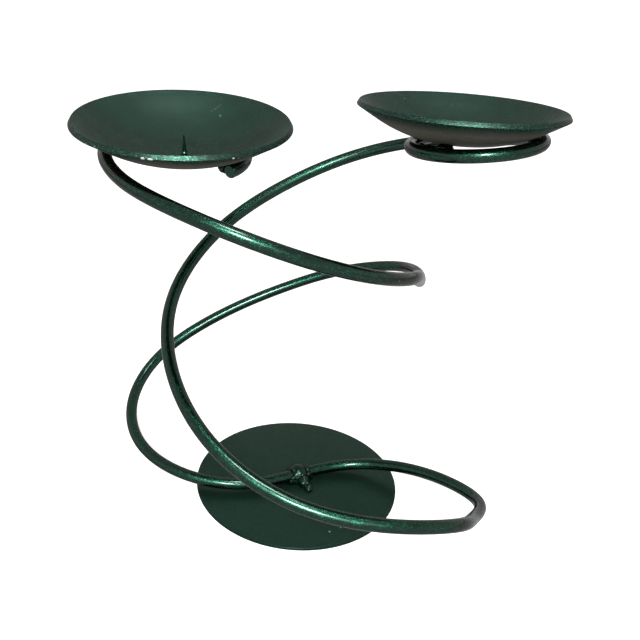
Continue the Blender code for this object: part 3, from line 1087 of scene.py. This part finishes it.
class HOLDER_OT_stage(bpy.types.Operator):
    """Set up the floor, the lamps, the world and the camera"""

    bl_idname = "candle_holder.stage"
    bl_label = "Make the stage"

    def execute(self, context):
        stage = settings("stage")
        self.add_camera(context, stage)
        self.add_floor(stage)
        self.add_world(context)
        self.add_lamps(context)
        context.scene.view_settings.view_transform = "Standard"
        return {"FINISHED"}

    def add_camera(self, context, stage):
        """The camera, from its place, its three turns and its lens."""
        forward = Vector((
            math.sin(stage.yaw) * math.cos(stage.pitch),
            math.cos(stage.yaw) * math.cos(stage.pitch), -math.sin(stage.pitch),
        ))
        right = forward.cross(Vector((0, 0, 1))).normalized()
        up = right.cross(forward)
        turned_right = right * math.cos(stage.roll) + up * math.sin(stage.roll)
        turned_up = up * math.cos(stage.roll) - right * math.sin(stage.roll)
        data = bpy.data.cameras.new("camera")
        data.sensor_width = SENSOR_WIDTH
        data.lens = stage.lens
        data.clip_start, data.clip_end = CLIP_NEAR, CLIP_FAR
        camera = bpy.data.objects.new("camera", data)
        turn = Matrix((turned_right, turned_up, -forward)).transposed().to_4x4()
        place = Matrix.Translation((0, -stage.camera_back, stage.camera_up))
        camera.matrix_world = place @ turn
        context.scene.collection.objects.link(camera)
        context.scene.camera = camera

    def add_floor(self, stage):
        """A pale floor that looks white and still takes the shadow."""
        size = stage.floor
        corners = [(-size, -size, 0), (size, -size, 0), (size, size, 0), (-size, size, 0)]
        mesh = bpy.data.meshes.new("floor")
        mesh.from_pydata(corners, [], [(0, 1, 2, 3)])
        material = bpy.data.materials.new("pale floor")
        material.use_nodes = True
        tree = material.node_tree
        tree.nodes.clear()
        grey = (FLOOR_GREY, FLOOR_GREY, FLOOR_GREY, 1.0)
        diffuse = add_node(tree, "ShaderNodeBsdfDiffuse", {"Color": grey})
        seen, mirrored = ray_kinds(tree)
        level = add_math(
            tree, "ADD", add_math(tree, "MULTIPLY", seen, FLOOR_SEEN),
            add_math(tree, "MULTIPLY", mirrored, FLOOR_MIRRORED),
        )
        glow = add_node(tree, "ShaderNodeEmission", {"Strength": level})
        both = add_node(
            tree, "ShaderNodeAddShader", {0: diffuse.outputs[0], 1: glow.outputs[0]}
        )
        out = tree.nodes.new("ShaderNodeOutputMaterial")
        tree.links.new(both.outputs[0], out.inputs["Surface"])
        add_object("floor", mesh, material)

    def add_world(self, context):
        """White to the camera, a low light to the holder, and a bright room to its paint."""
        world = bpy.data.worlds.new("studio")
        world.use_nodes = True
        tree = world.node_tree
        background = tree.nodes["Background"]
        seen, mirrored = ray_kinds(tree)
        way = add_node(tree, "ShaderNodeTexCoord").outputs["Generated"]
        height = add_node(tree, "ShaderNodeSeparateXYZ", {"Vector": way}).outputs["Z"]
        room = add_ramp(tree, height, 0.0, 1.0, ROOM_HORIZON, ROOM_ZENITH)
        for (turn, lift), reach, fade, glare in DISCS:
            facing = add_node(
                tree, "ShaderNodeVectorMath", {0: way, 1: light_way(turn, lift)},
                operation="DOT_PRODUCT",
            ).outputs["Value"]
            edges = (math.cos(math.radians(angle)) for angle in (fade, reach))
            inside = add_ramp(tree, facing, *edges)
            room = add_math(tree, "ADD", room, add_math(tree, "MULTIPLY", inside, glare))
        white = add_math(tree, "MULTIPLY", seen, 1.0 - WORLD_LIGHT)
        level = add_math(tree, "ADD", white, WORLD_LIGHT)
        room = add_math(tree, "SUBTRACT", room, WORLD_LIGHT)
        over = add_math(tree, "MULTIPLY", mirrored, room)
        tree.links.new(add_math(tree, "ADD", level, over), background.inputs["Strength"])
        tree.links.new(add_mix(tree, mirrored, WHITE, ROOM_TINT), background.inputs["Color"])
        context.scene.world = world

    def add_lamps(self, context):
        """Area lamps that face the middle of the holder."""
        for name, (turn, lift), (width, height), watts in LAMPS:
            data = bpy.data.lights.new(name, "AREA")
            data.shape = "RECTANGLE"
            data.size, data.size_y = width, height
            data.energy = watts
            lamp = bpy.data.objects.new(name, data)
            way = light_way(turn, lift)
            place = Matrix.Translation(Vector(LAMP_AIM) + way * LAMP_DISTANCE)
            lamp.matrix_world = place @ (-way).to_track_quat("-Z", "Y").to_matrix().to_4x4()
            context.scene.collection.objects.link(lamp)


OPERATORS = (
    HOLDER_OT_stage, HOLDER_OT_base, HOLDER_OT_arms, HOLDER_OT_dishes, HOLDER_OT_spikes,
    HOLDER_OT_beads,
)


def scene_name(group):
    """The scene's attribute that holds a group of settings."""
    return "holder_" + group.__name__.replace("Settings", "").lower()


class HOLDER_PT_panel(bpy.types.Panel):
    """Sizes, colours and buttons of the candle holder"""

    bl_idname = "HOLDER_PT_panel"
    bl_label = "Candle holder"
    bl_space_type = "VIEW_3D"
    bl_region_type = "UI"
    bl_category = "Candle holder"

    def draw(self, context):
        for group in GROUPS:
            box = self.layout.box()
            box.label(text=group.__doc__)
            owner = getattr(context.scene, scene_name(group))
            for name in group.__annotations__:
                box.prop(owner, name)
        for operator in OPERATORS:
            self.layout.operator(operator.bl_idname)


def register():
    for kind in GROUPS + OPERATORS + (HOLDER_PT_panel,):
        bpy.utils.register_class(kind)
    for group in GROUPS:
        setattr(bpy.types.Scene, scene_name(group), PointerProperty(type=group))


def unregister():
    for group in GROUPS:
        delattr(bpy.types.Scene, scene_name(group))
    for kind in reversed(GROUPS + OPERATORS + (HOLDER_PT_panel,)):
        bpy.utils.unregister_class(kind)


def main():
    register()
    bpy.ops.candle_holder.stage()
    bpy.ops.candle_holder.base()
    bpy.ops.candle_holder.arms()
    bpy.ops.candle_holder.dishes()
    bpy.ops.candle_holder.spikes()
    bpy.ops.candle_holder.beads()


if __name__ == "__main__":
    main()
